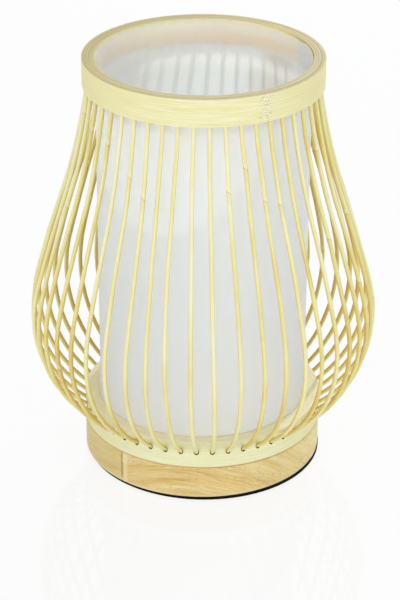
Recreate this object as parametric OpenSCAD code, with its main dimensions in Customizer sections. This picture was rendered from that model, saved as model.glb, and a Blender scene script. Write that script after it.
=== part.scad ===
// Bedside lamp: a pear-shaped cage of thin bamboo ribs round a white film cylinder, on a wooden foot.
// +Z is up, -Y is the front, and the origin is the middle of the pad's underside.

/* [Overall] */
// Height of the lamp, from the table to the top of the ring
lamp_h = 250; // [225:1:290]

/* [Ribs] */
// Number of ribs round the cage
rib_count = 48; // [36:4:52]
// Diameter of a rib at its foot
rib_d = 2.6; // [1.8:0.1:2.8]
// Largest diameter of the cage, over the ribs
belly_d = 204; // [180:1:230]
// Height of the widest place above the table
belly_h = 90; // [80:1:105]
// Sideways tilt of each rib, in degrees
rib_skew = 0.7; // [0:0.1:1.5]
// Length of rib held inside the top ring
rib_grip = 12; // [6:0.5:13]
// Length of rib held inside the lower hoop
rib_foot = 5; // [3:0.5:6]

/* [Top ring] */
// Height of the top ring
ring_h = 16; // [14:0.5:22]
// Thickness of the band outside the ribs
outer_band_t = 1.4; // [1:0.1:3]
// Thickness of the laminated band inside the ribs
inner_band_t = 2.9; // [2:0.1:5]

/* [Lower hoop] */
// Height of the lower hoop
hoop_h = 16; // [14:0.5:20]
// Thickness of the lower hoop
hoop_wall = 8.9; // [8:0.1:11]
// Height of the rib holes above the hoop's underside
hole_rise = 10.3; // [9:0.1:12]
// Rounding of the hoop's upper edges
hoop_round = 1.5; // [0.5:0.1:2]

/* [Diffuser] */
// Outer diameter of the film cylinder
film_d = 123.2; // [112:0.2:134]
// Thickness of the film
film_t = 0.5; // [0.3:0.05:0.8]
// Width of the film's lapped seam
lap_w = 32; // [10:1:40]

/* [Base] */
// Thickness of the wooden disc
base_t = 20; // [17:0.5:30]
// Thickness of the black pad under it
pad_t = 2; // [1:0.5:4]
// How far the pad stays inside the disc's edge
pad_inset = 0.6; // [0.2:0.1:2]
// Height of the turned step that centres the film
step_h = 3; // [2:0.5:5]
// Diameter of the recess under the disc
recess_d = 32; // [27:1:44]
// Depth of the recess under the disc
recess_h = 12; // [11:0.5:14]
// Bore for the supply cord
cord_bore = 6.4; // [5.5:0.1:7]
// Number of screws that hold the hoop
screw_count = 4; // [3:1:6]
// Shank diameter of a hoop screw
screw_d = 3.5; // [3:0.1:4]
// How far a hoop screw enters the hoop
screw_bite = 5; // [3:0.5:5]

/* [Lampholder] */
// Outside diameter of the threaded tube
tube_d = 10; // [9:0.5:11]
// Outside diameter of the lampholder
holder_d = 40; // [38:0.5:46]
// Height of the lampholder's skirt
skirt_h = 36; // [33:0.5:40]
// Wall of the lampholder's cap and skirt
holder_wall = 2; // [1.5:0.1:2.5]

/* [Bulb] */
// Diameter of the bulb's cap
cap_d = 26; // [25:0.1:26.5]
// Diameter of the bulb's globe
globe_d = 60; // [50:1:66]
// Length of the bulb, from its contact to its top
bulb_l = 108; // [100:1:120]
// Wall of the globe
globe_wall = 1.2; // [0.8:0.1:2]

/* [Hidden] */
RIB_GROUPS = 16;
$fn = 96;

// Clearances
glue_gap = 0.05;
slot_gap = 0.1;
rib_hole_gap = 0.25;
film_gap = 0.3;
fit_gap = 0.05;
loose_gap = 0.3;
// What a cutter reaches past the face that it opens
over = 1;

// Heights
base_z = pad_t;
hoop_z = base_z + base_t;
ring_z = lamp_h - ring_h;
step_top = hoop_z + step_h;
recess_top = base_z + recess_h;

// Radii, from the film outwards
film_r = film_d / 2;
film_seat_r = film_r + film_gap;
inner_band_r = film_seat_r + inner_band_t;
rib_top_r = inner_band_r + slot_gap + rib_d / 2;
outer_band_in = rib_top_r + rib_d / 2 + slot_gap;
ring_r = outer_band_in + outer_band_t;
base_r = film_seat_r + hoop_wall;
step_r = film_r - 2 * film_t - loose_gap;

// Colours
bamboo = [0.93, 0.9, 0.71];
bamboo_dark = [0.85, 0.78, 0.55];
rubberwood = [0.87, 0.78, 0.53];
black = [0.13, 0.12, 0.11];
zinc = [0.72, 0.73, 0.75];
brass = [0.8, 0.66, 0.33];
film_white = [0.93, 0.93, 0.9];
ceramic = [0.9, 0.88, 0.83];
opal = [0.97, 0.96, 0.92];
white_plastic = [0.95, 0.95, 0.93];

// Seam of the film: behind the lamp's right side
lap_end = 118;
// Rounding of the disc's upper edge, and of the edges of the top ring's bands
edge_round = 1;
band_round = 0.3;

// Turns its children to a bearing counted from the front, towards the right
module at_bearing(a) { rotate([0, 0, a]) children(); }

// A plain ring from one radius to another
module ring(r_in, r_out, h, z = 0) {
    translate([0, 0, z]) difference() {
        cylinder(r = r_out, h = h);
        translate([0, 0, -over]) cylinder(r = r_in, h = h + 2 * over);
    }
}

// Ring with a rounded inner and outer upper edge
module rounded_ring(r_in, r_out, h, z, round) {
    translate([0, 0, z]) rotate_extrude() {
        translate([r_in, 0]) square([r_out - r_in, h - round]);
        translate([r_in + round, 0]) square([r_out - r_in - 2 * round, h]);
        translate([r_in + round, h - round]) circle(r = round, $fn = 48);
        translate([r_out - round, h - round]) circle(r = round, $fn = 48);
    }
}

// The rib's line, in its own upright plane: one arc from the foot to the belly, then four arcs
// up to the ring. A lean is the angle from upright, towards the axis going up.

rib_r = rib_d / 2;
belly_r = belly_d / 2 - rib_r;
hole_z = hoop_z + hole_rise;
// Share of the upper line that each arc takes, from the belly up
arc_share = [0.15, 0.382, 0.443, 0.025];
// Lean at the end of each arc, as a share of the steepest
arc_lean = [0.757, 1, 0.437, 0];
// What each stretch of a rib is thinner than the one below it, in radius
thinning = 0.012;
// How far each stretch runs into the one below it
stretch_lap = 0.3;

// Step across and up along an arc of unit length whose lean turns from a to b
function arc_step(a, b) = 180 / (PI * (b - a)) * [cos(a) - cos(b), sin(b) - sin(a)];
// Where the upper line ends for a given steepest lean, per unit of its length
function line_end(steep, i = 0, a = 0, p = [0, 0]) =
    i == len(arc_share) ? p
        : line_end(steep, i + 1, arc_lean[i] * steep,
                   p + arc_share[i] * arc_step(a, arc_lean[i] * steep));
// Steepest lean that makes the line end at the given slope, by halving
function steepest(slope, low = 1, high = 60, n = 40) =
    let (mid = (low + high) / 2, end = line_end(mid))
    n == 0 ? mid
        : end[0] / end[1] < slope ? steepest(slope, mid, high, n - 1)
        : steepest(slope, low, mid, n - 1);

steep = steepest((belly_r - rib_top_r) / (ring_z - belly_h));
upper_len = (ring_z - belly_h) / line_end(steep)[1];
function lean_at(i) = i == 0 ? 0 : arc_lean[i - 1] * steep;
function point_at(i) =
    i == 0 ? [belly_r, belly_h]
        : let (v = arc_share[i - 1] * upper_len * arc_step(lean_at(i - 1), lean_at(i)))
          point_at(i - 1) + [-v[0], v[1]];

// The lower arc leaves the belly upright and passes through the hole's mouth
foot_in = belly_r - base_r;
foot_drop = belly_h - hole_z;
lower_R = (pow(foot_in, 2) + pow(foot_drop, 2)) / (2 * foot_in);
foot_lean = 2 * atan(foot_in / foot_drop);

// Arc of round bar in the XZ plane, about (cx, cz), between two angles from +X
module bar_arc(cx, cz, R, r, from, to) {
    translate([cx, 0, cz]) rotate([90, 0, 0])
        rotate_extrude(angle = to - from, start = from) translate([R, 0]) circle(r = r, $fn = 32);
}

module rib_stretch(i) {
    a = lean_at(i);
    b = lean_at(i + 1);
    p = point_at(i);
    R = arc_share[i] * upper_len * 180 / (PI * abs(b - a));
    lap = stretch_lap * 180 / (PI * R);
    r = rib_r - (i + 1) * thinning;
    if (b > a) bar_arc(p[0] - R * cos(a), p[1] - R * sin(a), R, r, a - lap, b);
    else bar_arc(p[0] + R * cos(a), p[1] + R * sin(a), R, r, 180 + b, 180 + a + lap);
}

// One whole rib, in the XZ plane on the +X side
module rib() {
    translate([base_r, 0, hole_z]) rotate([0, 180 + foot_lean, 0]) translate([0, 0, -stretch_lap])
        cylinder(r = rib_r + thinning, h = rib_foot + stretch_lap, $fn = 32);
    bar_arc(belly_r - lower_R, belly_h, lower_R, rib_r, -foot_lean, 0);
    for (i = [0 : len(arc_share) - 1]) rib_stretch(i);
    translate([rib_top_r, 0, ring_z - stretch_lap])
        cylinder(r = rib_r - (len(arc_share) + 1) * thinning, h = rib_grip + stretch_lap, $fn = 32);
}

rib_pitch = 360 / rib_count;
// Bearing of the first rib's belly
first_rib = -3.2;
// Puts its children where rib number i stands, tilted about its own radius at the belly
module at_rib(i) {
    at_bearing(first_rib - 90 + i * rib_pitch)
        translate([0, 0, belly_h]) rotate([rib_skew, 0, 0]) translate([0, 0, -belly_h]) children();
}

// Ribs are shared out evenly over the groups, in order round the cage
function rib_group_name(g) = str("ribs_", g < 10 ? "0" : "", g);
function group_start(g) = floor((g - 1) * rib_count / RIB_GROUPS);
module rib_group(g) {
    color(g % 2 == 0 ? bamboo : bamboo_dark)
        for (i = [group_start(g) : group_start(g + 1) - 1]) at_rib(i) rib();
}

// Base

module base_pad() {
    color(black) cylinder(r = base_r - pad_inset, h = pad_t);
}

screw_r = film_seat_r + hoop_wall / 2;
screw_len = base_t + screw_bite;
screw_head_d = 2 * screw_d;
screw_head_h = screw_d * 0.6;
screw_tip_r = 0.2;
// An even number of screws starts half a step round, so that none meets the cord's inlet behind
first_screw = screw_count % 2 == 0 ? 0.5 : 0;
// Puts its children at each hoop screw, midway between two ribs
module at_screws() {
    for (i = [0 : screw_count - 1])
        at_bearing(first_rib - 90 + (floor((i + first_screw) * rib_count / screw_count) + 0.5) * rib_pitch)
            translate([screw_r, 0, base_z]) children();
}

// Shape of a countersunk screw, point up, or of its hole when the gap is given
module screw_form(gap) {
    point = screw_d;
    cylinder(r1 = screw_head_d / 2 + gap, r2 = screw_d / 2 + gap, h = screw_head_h);
    cylinder(r = screw_d / 2 + gap, h = screw_len - point);
    translate([0, 0, screw_len - point])
        cylinder(r1 = screw_d / 2 + gap, r2 = screw_tip_r + gap, h = point + gap);
}

module hoop_screws() {
    color(zinc) at_screws() difference() {
        screw_form(0);
        cross_slot(screw_head_d * 0.6, screw_d * 0.2, screw_head_h * 0.6);
    }
}

// Cross slot in a screw's head, cut upwards from z = 0
module cross_slot(w, t, depth) {
    for (a = [0, 90]) rotate([0, 0, a]) translate([-w / 2, -t / 2, -over]) cube([w, t, depth + over]);
}

// Inlet for the supply cord, behind
cord_z = base_z + base_t * 0.4;
bush_r = cord_bore / 2 + 1.4;
bush_flange_r = bush_r + 1.8;
bush_flange_t = 1.6;
bush_round = 0.6;
bush_len = 10;
// The bushing's flange seats on a flat cut this deep into the disc's rim
bush_cut = 0.5;
bush_seat = base_r - bush_cut;

module base_disc() {
    color(rubberwood) difference() {
        union() {
            translate([0, 0, base_z]) rotate_extrude() {
                square([base_r, base_t - edge_round]);
                square([base_r - edge_round, base_t]);
                translate([base_r - edge_round, base_t - edge_round]) circle(r = edge_round, $fn = 48);
            }
            translate([0, 0, hoop_z - over]) cylinder(r = step_r, h = step_h + over);
        }
        translate([0, 0, base_z - over]) cylinder(r = recess_d / 2, h = recess_h + over);
        cylinder(r = tube_d / 2 + fit_gap, h = step_top + over);
        at_screws() {
            screw_form(fit_gap);
            translate([0, 0, -over]) cylinder(r = screw_head_d / 2 + fit_gap, h = over);
        }
        translate([0, bush_seat, cord_z]) rotate([-90, 0, 0])
            cylinder(r = bush_flange_r + loose_gap, h = bush_cut + over);
        translate([0, 0, cord_z]) rotate([-90, 0, 0]) cylinder(r = bush_r + fit_gap, h = base_r);
    }
}

module cord_bushing() {
    color(black) translate([0, bush_seat, cord_z]) rotate([-90, 0, 0]) difference() {
        union() {
            translate([0, 0, -bush_len]) cylinder(r = bush_r, h = bush_len + over / 2);
            rounded_cap(bush_flange_r, bush_flange_t, bush_round);
        }
        translate([0, 0, -bush_len - over])
            cylinder(r = cord_bore / 2, h = bush_len + bush_flange_t + 2 * over);
    }
}

// Disc with a rounded upper edge, standing on z = 0
module rounded_cap(r, h, round) {
    rotate_extrude() {
        square([r, h - round]);
        square([r - round, h]);
        translate([r - round, h - round]) circle(r = round, $fn = 48);
    }
}

// Lower hoop: laminated bamboo, drilled aslant for each rib

module lower_hoop() {
    color(bamboo) difference() {
        rounded_ring(film_seat_r, base_r, hoop_h, hoop_z, hoop_round);
        for (i = [0 : rib_count - 1]) at_rib(i) translate([base_r, 0, hole_z])
            rotate([0, 180 + foot_lean, 0]) translate([0, 0, -rib_d * 3])
                cylinder(r = rib_r + rib_hole_gap, h = rib_d * 3 + rib_foot + rib_hole_gap, $fn = 32);
        at_screws() screw_form(fit_gap);
    }
}

// Top ring: outer band, comb with a slot for each rib, and inner band

module top_outer_band() {
    color(bamboo) rounded_ring(outer_band_in, ring_r, ring_h, ring_z, band_round);
}

module top_comb_ring() {
    slot_w = rib_d + 2 * slot_gap;
    color(bamboo_dark) difference() {
        ring(inner_band_r + glue_gap, outer_band_in - glue_gap, ring_h, ring_z);
        for (i = [0 : rib_count - 1]) at_rib(i)
            translate([rib_top_r - rib_d, -slot_w / 2, ring_z - over])
                cube([2 * rib_d, slot_w, rib_grip + slot_gap + over]);
    }
}

module top_inner_band() {
    color(bamboo_dark) rounded_ring(film_seat_r, inner_band_r, ring_h, ring_z, band_round);
}

// Film cylinder with a lapped seam on its inside

module diffuser_film() {
    film_h = lamp_h - hoop_z - film_gap;
    lap_angle = lap_w / film_r * 180 / PI;
    // The lap's inner layer is drawn half a thickness into the wall, so that the two are one
    lap_t = film_t * 1.5;
    color(film_white) translate([0, 0, hoop_z]) {
        ring(film_r - film_t, film_r, film_h);
        rotate_extrude(angle = lap_angle, start = lap_end - 90 - lap_angle, $fn = 192)
            translate([film_r - 2 * film_t, 0]) square([lap_t, film_h]);
    }
}

// Tube, nuts and washers that hold the lampholder on the base

nut_flats = tube_d * 1.4;
nut_h = tube_d * 0.4;
nut_chamfer = nut_flats * 0.06;
washer_r = tube_d;
washer_t = 1.5;
holder_z = step_top + washer_t + nut_h;
tube_wall = 1.5;
// How far the tube passes the lower nut, and how far it enters the lampholder
tube_spare = 2;
tube_entry = 7;
tube_bottom = recess_top - washer_t - nut_h - tube_spare;
tube_top = holder_z + tube_entry;

module threaded_tube() {
    color(zinc) ring(tube_d / 2 - tube_wall, tube_d / 2, tube_top - tube_bottom, tube_bottom);
}

module hex_nut(z) {
    translate([0, 0, z]) difference() {
        intersection() {
            cylinder(d = nut_flats / cos(30), h = nut_h, $fn = 6);
            cylinder(r1 = nut_flats / 2 + nut_h, r2 = nut_flats / 2, h = nut_h + nut_chamfer);
        }
        translate([0, 0, -over]) cylinder(r = tube_d / 2 + fit_gap, h = nut_h + 2 * over);
    }
}

module tube_nuts() {
    color(zinc) {
        hex_nut(recess_top - washer_t - nut_h);
        hex_nut(step_top + washer_t);
    }
}

module tube_washers() {
    color(zinc) for (z = [recess_top - washer_t, step_top])
        ring(tube_d / 2 + fit_gap, washer_r, washer_t, z);
}

// Lampholder

holder_r = holder_d / 2;
dome_h = 13;
neck_r = tube_d / 2 + 3;
neck_h = 4;
skirt_z = holder_z + dome_h;
skirt_in = holder_r - holder_wall;
cap_lip_h = 5;
cap_lip_r = skirt_in - slot_gap;
block_h = 9;
block_top = skirt_z + block_h;
block_r = cap_lip_r - holder_wall - slot_gap;

// Cap: a neck, a round shoulder and a lip that the skirt screws over
module holder_cap() {
    floor_h = neck_h + holder_wall;
    color(white_plastic) translate([0, 0, holder_z]) difference() {
        union() {
            rotate_extrude() dome_outline(neck_r, holder_r, neck_h, dome_h);
            translate([0, 0, dome_h - over]) cylinder(r = cap_lip_r, h = cap_lip_h + over);
        }
        translate([0, 0, floor_h]) rotate_extrude()
            dome_outline(tube_d / 2, cap_lip_r - holder_wall, 0, dome_h - floor_h);
        translate([0, 0, dome_h]) cylinder(r = cap_lip_r - holder_wall, h = cap_lip_h + over);
        translate([0, 0, -over]) cylinder(r = tube_d / 2 + fit_gap, h = dome_h);
    }
}

// Half-outline of a domed cup: straight neck, then a quarter round out to the rim
module dome_outline(r_neck, r_rim, neck, h) {
    bulge = min(r_rim - r_neck, h - neck);
    square([r_neck, h]);
    translate([0, h - bulge]) square([r_rim - bulge, bulge]);
    intersection() {
        translate([r_rim - bulge, h]) circle(r = bulge);
        square([r_rim, h]);
    }
}

terminal_r = 1.5;
terminal_l = 5;
terminal_head_r = 2.6;
terminal_head_h = 1.4;
terminal_x = block_r * 0.6;
// Puts its children at each terminal screw, under the block, with their z pointing down
module at_terminals() {
    for (s = [-1, 1]) translate([s * terminal_x, 0, skirt_z]) rotate([180, 0, 0]) children();
}

module contact_block() {
    color(ceramic) difference() {
        translate([0, 0, skirt_z]) cylinder(r = block_r, h = block_h);
        at_terminals() translate([0, 0, -terminal_l - fit_gap])
            cylinder(r = terminal_r + fit_gap, h = terminal_l + fit_gap + over);
    }
}

module terminal_screws() {
    slot = 0.7;
    color(brass) at_terminals() difference() {
        union() {
            translate([0, 0, -terminal_l]) cylinder(r = terminal_r, h = terminal_l + terminal_head_h / 2);
            cylinder(r = terminal_head_r, h = terminal_head_h);
        }
        translate([-terminal_head_r - over, -slot / 2, terminal_head_h - slot])
            cube([2 * (terminal_head_r + over), slot, slot + over]);
    }
}

// Bulb, from its contact up

contact_t = 0.6;
contact_w = 4.4;
contact_l = 8;
contact_h = 2.3;
bulb_z = block_top + contact_h + loose_gap;
tip_r = 4.8;
tip_h = 1;
insulator_h = 3;
cap_z = bulb_z + tip_h + insulator_h;
cap_h = 23;
cap_pitch = 3.6;
cap_ring_r = 1.2;
collar_z = cap_z + cap_h;
globe_r = globe_d / 2;
globe_z = bulb_z + bulb_l - globe_r;
// The collar meets the globe this far below the globe's centre
collar_drop = globe_r * 0.72;
collar_r = sqrt(pow(globe_r, 2) - pow(collar_drop, 2));
shell_in = cap_d / 2 + loose_gap;
shell_t = 0.5;

// A strip bent back over itself, seen from the side as a hook
module centre_contact() {
    color(brass) translate([contact_w / 2, 0, block_top]) rotate([0, -90, 0]) linear_extrude(contact_w)
        difference() {
            translate([0, -contact_l / 2]) square([contact_h, contact_l]);
            translate([contact_t, contact_t - contact_l / 2]) square([contact_h - 2 * contact_t, contact_l]);
        }
}

module screw_shell() {
    color(brass) ring(shell_in, shell_in + shell_t, skirt_h - block_h - holder_wall, block_top);
}

// The skirt steps in above the lip, keeps a narrower bore round the shell, and has a rolled mouth
module holder_skirt() {
    mouth_r = holder_r - holder_wall / 2;
    roll = 1.2;
    step_z = 8;
    color(white_plastic) translate([0, 0, skirt_z]) difference() {
        rotate_extrude() {
            polygon([[0, 0], [holder_r, 0], [holder_r, step_z], [mouth_r, step_z + holder_wall],
                     [mouth_r, skirt_h - roll], [0, skirt_h - roll]]);
            translate([0, skirt_h - 2 * roll]) square([mouth_r, 2 * roll]);
            translate([mouth_r, skirt_h - roll]) circle(r = roll, $fn = 48);
        }
        translate([0, 0, -over]) cylinder(r = skirt_in, h = block_h + holder_wall + over);
        cylinder(r = shell_in + shell_t + slot_gap, h = skirt_h + over);
    }
}

module bulb_tip() {
    color(brass) translate([0, 0, bulb_z]) cylinder(r1 = tip_r * 0.75, r2 = tip_r, h = tip_h);
}

module bulb_insulator() {
    color(black) translate([0, 0, bulb_z + tip_h])
        cylinder(r1 = tip_r, r2 = cap_d / 2 - cap_ring_r, h = insulator_h);
}

// Screw cap with its rolled rings, one for each turn of the thread
module bulb_cap() {
    color(zinc) translate([0, 0, cap_z]) rotate_extrude() {
        square([cap_d / 2 - cap_ring_r, cap_h]);
        for (z = [cap_pitch / 2 : cap_pitch : cap_h - cap_ring_r])
            translate([cap_d / 2 - cap_ring_r, z]) circle(r = cap_ring_r, $fn = 32);
    }
}

module bulb_collar() {
    lip = 1;
    color(white_plastic) translate([0, 0, collar_z])
        cylinder(r1 = cap_d / 2 + lip, r2 = collar_r, h = globe_z - collar_drop - collar_z);
}

module bulb_globe() {
    color(opal) difference() {
        translate([0, 0, globe_z]) sphere(r = globe_r);
        translate([0, 0, globe_z]) sphere(r = globe_r - globe_wall);
        translate([0, 0, globe_z - collar_drop - globe_r]) cylinder(r = globe_r, h = globe_r);
    }
}

base_pad();
base_disc();
cord_bushing();
hoop_screws();
lower_hoop();
top_outer_band();
top_comb_ring();
top_inner_band();
diffuser_film();
threaded_tube();
tube_nuts();
tube_washers();
holder_cap();
contact_block();
terminal_screws();
centre_contact();
screw_shell();
holder_skirt();
bulb_globe();
bulb_collar();
bulb_cap();
bulb_insulator();
bulb_tip();
for (g = [1 : RIB_GROUPS]) rib_group(g);
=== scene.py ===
"""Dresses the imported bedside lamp: camera, light, materials, and pieces that the solids only outline."""

import math
import random

import bpy
from mathutils import Matrix, Vector


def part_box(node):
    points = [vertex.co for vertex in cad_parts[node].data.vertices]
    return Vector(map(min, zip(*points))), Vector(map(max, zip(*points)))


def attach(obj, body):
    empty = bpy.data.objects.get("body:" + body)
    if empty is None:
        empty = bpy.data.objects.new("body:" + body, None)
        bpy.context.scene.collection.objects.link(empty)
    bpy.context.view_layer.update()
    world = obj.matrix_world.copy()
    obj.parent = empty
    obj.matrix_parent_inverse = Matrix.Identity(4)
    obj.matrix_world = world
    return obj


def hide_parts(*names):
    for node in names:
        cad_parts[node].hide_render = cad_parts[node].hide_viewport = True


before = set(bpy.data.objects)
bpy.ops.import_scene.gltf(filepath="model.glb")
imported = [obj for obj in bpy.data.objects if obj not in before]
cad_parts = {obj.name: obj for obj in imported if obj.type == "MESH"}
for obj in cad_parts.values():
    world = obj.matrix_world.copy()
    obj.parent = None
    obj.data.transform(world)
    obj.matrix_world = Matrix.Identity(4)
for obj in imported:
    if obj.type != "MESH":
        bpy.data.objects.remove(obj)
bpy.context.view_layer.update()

MM = 0.001


def srgb(r, g, b):
    """A colour as read off a screen, 0 to 255, as Blender's linear one."""
    return tuple((c / 255) ** 2.2 for c in (r, g, b)) + (1.0,)


# Places of the CAD pieces, read from the imported model, in millimetres


def underside(node):
    return round(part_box(node)[0].z / MM, 3)


def upside(node):
    return round(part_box(node)[1].z / MM, 3)


def outer_radius(node):
    return round(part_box(node)[1].x / MM, 3)


PAD_TOP = upside("base_pad")
HOOP_BOTTOM = underside("lower_hoop")
HOOP_TOP = upside("lower_hoop")
HOOP_RADIUS = outer_radius("lower_hoop")
RING_BOTTOM = underside("top_outer_band")
RING_TOP = upside("top_outer_band")
INNER_BAND_RADIUS = outer_radius("top_inner_band")
FILM_BOTTOM = underside("diffuser_film")
FILM_TOP = upside("diffuser_film")
FILM_RADIUS = outer_radius("diffuser_film")

# Camera, at the photograph's viewing angle

CAM_ELEVATION = math.radians(26.92)
CAM_DISTANCE = 1269.2 * MM
CAM_TARGET = Vector((-1.57, 0, 95.28)) * MM
CAM_ROLL = math.radians(0.235)
CAM_LENS = 127.92
CAM_SENSOR = 36
# Nearest and farthest distance that it sees, in metres
CAM_CLIP = (0.02, 60)


def make_camera():
    camera = bpy.data.cameras.new("camera")
    camera.sensor_width = CAM_SENSOR
    camera.lens = CAM_LENS
    camera.clip_start, camera.clip_end = CAM_CLIP
    obj = bpy.data.objects.new("camera", camera)
    bpy.context.scene.collection.objects.link(obj)
    forward = Vector((0, math.cos(CAM_ELEVATION), -math.sin(CAM_ELEVATION)))
    right = Vector((1, 0, 0))
    up = right.cross(forward)
    across = right * math.cos(CAM_ROLL) + up * math.sin(CAM_ROLL)
    turned_up = up * math.cos(CAM_ROLL) - right * math.sin(CAM_ROLL)
    turn = Matrix((across, turned_up, -forward)).transposed()
    obj.matrix_world = Matrix.Translation(CAM_TARGET - forward * CAM_DISTANCE) @ turn.to_4x4()
    bpy.context.scene.camera = obj


# Node helpers


class Nodes:
    """The node tree of a material or a world, with a short way to add each kind of node. Lengths are in
    millimetres."""

    def __init__(self, owner):
        owner.use_nodes = True
        self.owner = owner
        self.tree = owner.node_tree
        self.tree.nodes.clear()

    def fill(self, made, inputs):
        """Links or sets a node's inputs."""
        for key, value in inputs.items():
            if isinstance(value, bpy.types.NodeSocket):
                self.tree.links.new(value, made.inputs[key])
            else:
                made.inputs[key].default_value = value

    def new(self, kind, inputs=None, **settings):
        made = self.tree.nodes.new(kind)
        for key, value in settings.items():
            setattr(made, key, value)
        self.fill(made, inputs or {})
        return made

    def math(self, operation, *values, clamp=False):
        inputs = dict(enumerate(values))
        return self.new("ShaderNodeMath", inputs, operation=operation, use_clamp=clamp).outputs[0]

    def plus(self, first, *rest):
        for value in rest:
            first = self.math("ADD", first, value)
        return first

    def minus(self, a, b):
        return self.math("SUBTRACT", a, b)

    def times(self, first, *rest):
        for value in rest:
            first = self.math("MULTIPLY", first, value)
        return first

    def either(self, share, a, b):
        """The number a where share is 0, and b where it is 1."""
        return self.plus(self.times(a, self.minus(1.0, share)), self.times(b, share))

    def place(self):
        """The point on the piece, in millimetres."""
        at = self.new("ShaderNodeTexCoord").outputs["Object"]
        return self.new("ShaderNodeVectorMath", {0: at, 3: 1 / MM}, operation="SCALE").outputs[0]

    def normal(self):
        """The surface's own direction, in the lamp's frame."""
        return self.new("ShaderNodeTexCoord").outputs["Normal"]

    def parts(self, vector):
        return self.new("ShaderNodeSeparateXYZ", {0: vector}).outputs

    def join(self, x, y, z):
        return self.new("ShaderNodeCombineXYZ", {0: x, 1: y, 2: z}).outputs[0]

    def stretch(self, vector, x, y, z):
        return self.new("ShaderNodeVectorMath", {0: vector, 1: (x, y, z)}, operation="MULTIPLY").outputs[0]

    def dot(self, a, b):
        return self.new("ShaderNodeVectorMath", {0: a, 1: b}, operation="DOT_PRODUCT").outputs["Value"]

    def given(self, name):
        """An attribute that the mesh carries."""
        return self.new("ShaderNodeAttribute", attribute_name=name).outputs

    def noise(self, vector, scale=1.0, detail=3.0, roughness=0.5, w=None, distortion=0.0):
        inputs = {
            "Vector": vector,
            "Scale": scale,
            "Detail": detail,
            "Roughness": roughness,
            "Distortion": distortion,
        }
        if w is not None:
            inputs["W"] = w
        dimensions = "3D" if w is None else "4D"
        return self.new("ShaderNodeTexNoise", inputs, noise_dimensions=dimensions).outputs[0]

    def band(self, value, low, high, to_low=0.0, to_high=1.0, smooth=True):
        """value's share of the way from low to high, as a number from to_low to to_high."""
        inputs = {0: value, 1: low, 2: high, 3: to_low, 4: to_high}
        kind = "SMOOTHSTEP" if smooth else "LINEAR"
        return self.new("ShaderNodeMapRange", inputs, interpolation_type=kind).outputs[0]

    def near(self, value, at, width, soft):
        """1 within width / 2 of at, falling to 0 over soft."""
        far = self.math("ABSOLUTE", self.minus(value, at))
        return self.band(far, width / 2, width / 2 + soft, 1.0, 0.0)

    def mix(self, share, a, b, blend="MIX"):
        made = self.new("ShaderNodeMix", data_type="RGBA", blend_type=blend)
        self.fill(made, {0: share, 6: a, 7: b})
        return made.outputs[2]

    def ramp(self, value, *stops):
        made = self.new("ShaderNodeValToRGB", {0: value})
        points = made.color_ramp.elements
        while len(points) < len(stops):
            points.new(0.5)
        for point, (at, colour) in zip(points, stops):
            point.position = at
            point.color = colour
        return made.outputs[0]

    def bump(self, height, depth, strength):
        """depth is the relief's full depth in millimetres."""
        inputs = {"Height": height, "Distance": depth * MM, "Strength": strength}
        return self.new("ShaderNodeBump", inputs).outputs[0]

    def principled(self, colour, roughness, normal=None, **constants):
        """constants are further inputs of the shader, by their names in lower case."""
        inputs = {"Base Color": colour, "Roughness": roughness}
        if normal is not None:
            inputs["Normal"] = normal
        for key, value in constants.items():
            inputs[key.replace("_", " ").title().replace("Ior", "IOR")] = value
        return self.new("ShaderNodeBsdfPrincipled", inputs).outputs[0]

    def blend(self, share, first, second):
        """The first shader where share is 0, and the second where it is 1."""
        return self.new("ShaderNodeMixShader", {0: share, 1: first, 2: second}).outputs[0]

    def finish(self, shader):
        self.new("ShaderNodeOutputMaterial", {0: shader})
        return self.owner


def new_material(name):
    return Nodes(bpy.data.materials.new(name))


def polar(n, at):
    """Bearing in degrees from the front, positive to the right, then the radius and the height."""
    x, y, z = n.parts(at)
    bearing = n.times(n.math("ARCTAN2", x, n.times(y, -1.0)), 180 / math.pi)
    radius = n.math("SQRT", n.plus(n.times(x, x), n.times(y, y)))
    return bearing, radius, z


def reach(n, at, towards):
    """How far the point lies from the lamp's axis towards a bearing."""
    way = (math.sin(math.radians(towards)), -math.cos(math.radians(towards)), 0.0)
    return n.dot(at, way)


def fibres(n, at, radius, along, across, detail=4.0, roughness=0.6, seed=0.0):
    """Fine lines that run round a hoop: slow along it, quick up it and across it."""
    w = n.plus(n.times(radius, across), seed)
    return n.noise(n.stretch(at, along, along, across), 1.0, detail, roughness, w=w)


# Bamboo strips bent to hoops

EDGE_COLOURS = (srgb(238, 225, 180), srgb(219, 204, 152), srgb(120, 96, 46))
MARK_PALE = srgb(254, 250, 226)
MARK_SCAR = srgb(202, 176, 84)
JOINT_LINE = srgb(150, 122, 66)
FOOT_LINE = srgb(226, 186, 108)
# Painted shade on the walls of the ribs' holes
HOLE_SHADE = srgb(30, 20, 8)


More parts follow.
